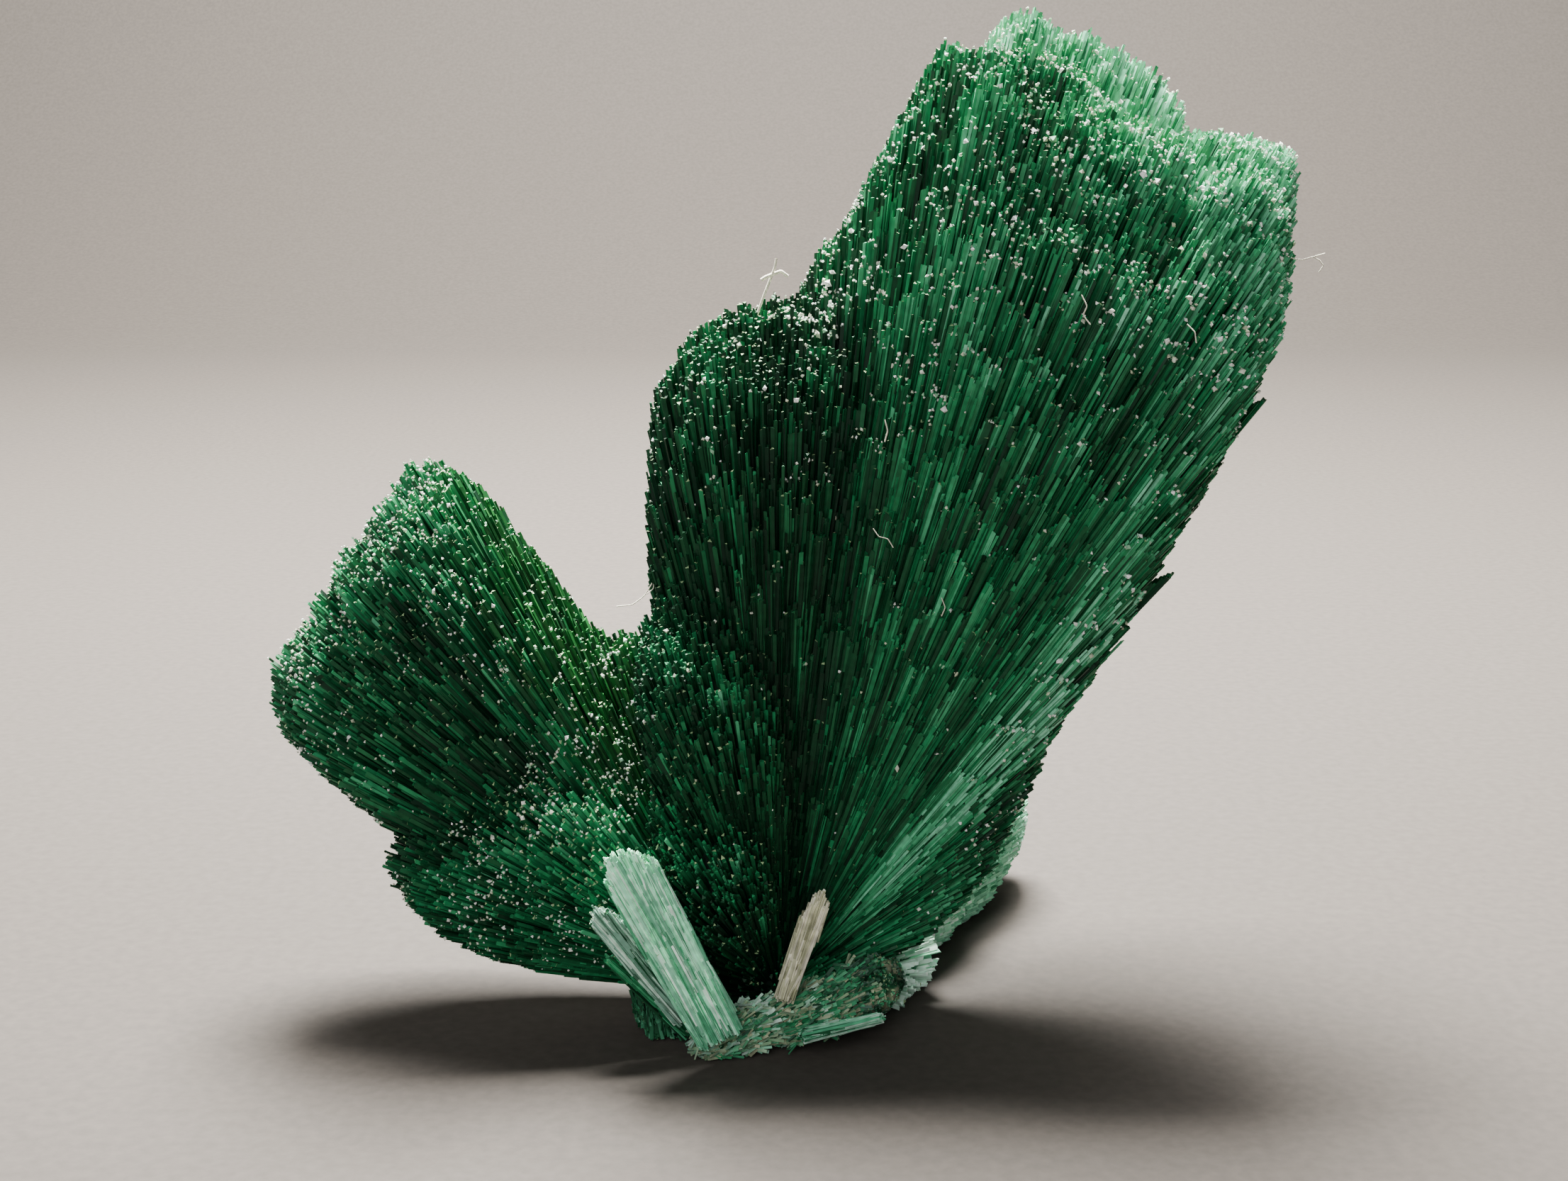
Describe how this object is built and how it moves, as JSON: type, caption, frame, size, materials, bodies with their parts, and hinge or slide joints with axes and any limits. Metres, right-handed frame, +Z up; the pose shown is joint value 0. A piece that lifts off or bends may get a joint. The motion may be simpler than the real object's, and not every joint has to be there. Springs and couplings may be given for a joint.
{
  "type": "malachite crystal specimen",
  "caption": "Rough mineral specimen: fans of radiating green malachite needles rising from a broken root, with loose splinters and a pale crust at the foot.",
  "frame": {"origin": "on the floor under the middle of the specimen's bounding box", "axes": "+X to the right along the width of the fans, +Y away from the side seen first, +Z up"},
  "size_m": [0.0306, 0.0172, 0.0294],
  "materials": {
    "green_needles": "silky",
    "dusty_needles": "velvety",
    "pale_crust": "matt",
    "mottled_root": "rough",
    "pale_needles": "silky",
    "tan_needles": "silky"
  },
  "bodies": {
    "root": {"main_spray": "green_needles", "left_spray": "dusty_needles", "rear_spray": "pale_crust", "root_crust": "mottled_root", "left_foot": "dusty_needles", "pale_splinter": "pale_needles", "grey_splinter": "pale_needles", "dark_splinter": "green_needles", "tan_splinter": "tan_needles", "right_splinter": "pale_needles"}
  },
  "joints": []
}
